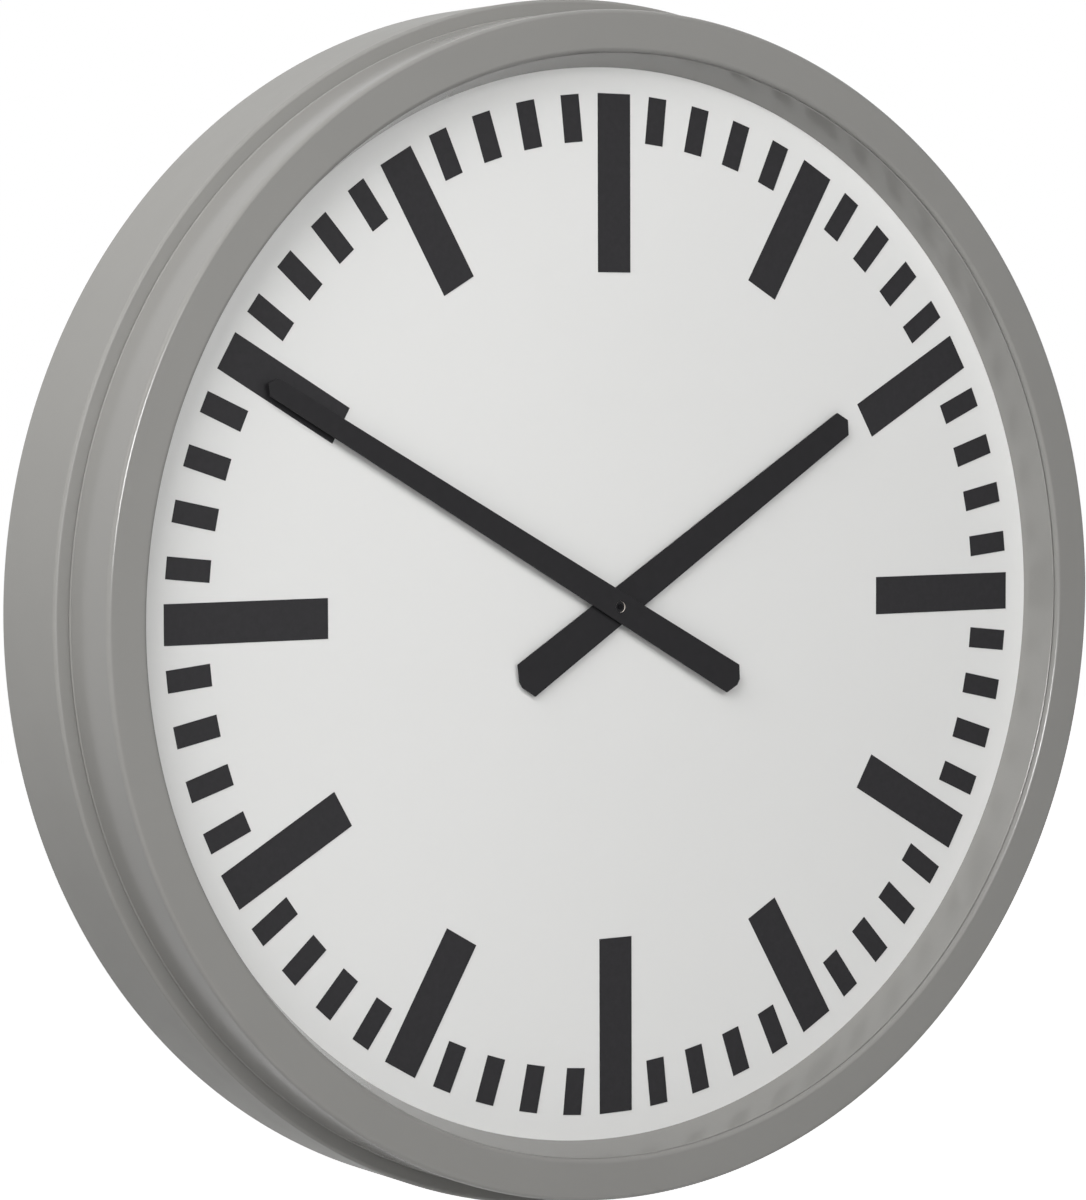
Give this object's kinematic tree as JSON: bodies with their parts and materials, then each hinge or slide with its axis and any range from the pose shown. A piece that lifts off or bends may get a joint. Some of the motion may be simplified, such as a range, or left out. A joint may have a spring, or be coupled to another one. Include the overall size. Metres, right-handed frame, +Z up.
{
  "type": "wall clock",
  "caption": "Large round wall clock: stepped grey metal case, bezel with a sloping inner ring, flat white dial with block marks, and two bar hands on a battery movement.",
  "frame": {"origin": "centre of the round end of the hanging slot, in the plane of the wall", "axes": "+Y into the wall along the slot's axis (the dial faces -Y), +Z up towards twelve o'clock, +X to the right as seen from the front"},
  "size_m": [0.76, 0.1155, 0.76],
  "materials": {
    "case_paint": "satin stove enamel, warm grey",
    "ring_paint": "satin enamel, warm grey",
    "zinc_steel": "bright zinc plate",
    "panel_sheet": "mill finish with a thin grey paint",
    "dial_sheet": "matt off-white enamel",
    "mark_film": "matt charcoal",
    "hand_sheet": "matt charcoal enamel",
    "brass": "turned",
    "black_collet": "matt black",
    "movement_black": "fine spark-eroded texture",
    "wheel_plastic": "natural nylon",
    "plate_plastic": "moulded",
    "knob_plastic": "moulded",
    "pad_rubber": "matt",
    "magnet": "sintered",
    "iron": "stamped",
    "copper": "wound enamelled wire",
    "board": "solder mask",
    "cell": "plain printed sleeve"
  },
  "bodies": {
    "case": {"case_drum": "case_paint", "bezel_ring": "case_paint", "reflector_ring": "ring_paint", "back_panel": "panel_sheet", "hanger_plate": "zinc_steel", "hanger_rivets": "zinc_steel", "panel_screws": "zinc_steel", "wall_pads": "pad_rubber", "bezel_brackets": "zinc_steel", "bezel_screws": "zinc_steel", "reflector_rivets": "zinc_steel", "dial_plate": "dial_sheet", "dial_posts": "zinc_steel", "dial_screws": "zinc_steel", "hour_marks": "mark_film", "minute_marks": "mark_film", "movement_front": "movement_black", "movement_back": "movement_black", "movement_screws": "zinc_steel", "train_plate": "plate_plastic", "centre_bush": "brass", "bush_nut": "brass", "bush_washer": "zinc_steel", "rubber_washer": "pad_rubber", "stator": "iron", "coil": "copper", "circuit_board": "board", "battery_contacts": "zinc_steel", "battery": "cell"},
    "minute": {"centre_wheel": "wheel_plastic", "minute_collet": "black_collet", "minute_hand": "hand_sheet"},
    "hour": {"hour_wheel": "wheel_plastic", "hour_collet": "brass", "hour_hand": "hand_sheet"},
    "motion": {"motion_wheel": "wheel_plastic"},
    "third": {"third_wheel": "wheel_plastic"},
    "seconds": {"seconds_wheel": "wheel_plastic"},
    "drive": {"drive_wheel": "wheel_plastic"},
    "magnet": {"rotor": "magnet"},
    "knob": {"setting_knob": "knob_plastic"}
  },
  "joints": [
    {"name": "minute_spin", "type": "hinge", "parent": "case", "child": "minute", "pos_m": [0, -0.08, -0.32], "axis": [0, 1, 0], "continuous": true},
    {"name": "hour_spin", "type": "hinge", "parent": "case", "child": "hour", "pos_m": [0, -0.08, -0.32], "axis": [0, 1, 0], "continuous": true},
    {"name": "motion_spin", "type": "hinge", "parent": "case", "child": "motion", "pos_m": [-0.0084, -0.08, -0.32], "axis": [0, 1, 0], "continuous": true},
    {"name": "third_spin", "type": "hinge", "parent": "case", "child": "third", "pos_m": [0.0054, -0.08, -0.31065], "axis": [0, 1, 0], "continuous": true},
    {"name": "seconds_spin", "type": "hinge", "parent": "case", "child": "seconds", "pos_m": [0.01499, -0.08, -0.30716], "axis": [0, 1, 0], "continuous": true},
    {"name": "drive_spin", "type": "hinge", "parent": "case", "child": "drive", "pos_m": [0.02077, -0.08, -0.31405], "axis": [0, 1, 0], "continuous": true},
    {"name": "magnet_spin", "type": "hinge", "parent": "case", "child": "magnet", "pos_m": [0.02515, -0.08, -0.32163], "axis": [0, 1, 0], "continuous": true},
    {"name": "knob_spin", "type": "hinge", "parent": "case", "child": "knob", "pos_m": [-0.0168, -0.08, -0.32], "axis": [0, 1, 0], "continuous": true}
  ],
  "couplings": [
    {"joint": "hour_spin", "follows": "minute_spin", "ratio": 0.083333},
    {"joint": "motion_spin", "follows": "minute_spin", "ratio": -0.33333},
    {"joint": "third_spin", "follows": "minute_spin", "ratio": -8},
    {"joint": "seconds_spin", "follows": "minute_spin", "ratio": 60},
    {"joint": "drive_spin", "follows": "minute_spin", "ratio": -300},
    {"joint": "magnet_spin", "follows": "minute_spin", "ratio": 1800},
    {"joint": "knob_spin", "follows": "minute_spin", "ratio": 1}
  ]
}
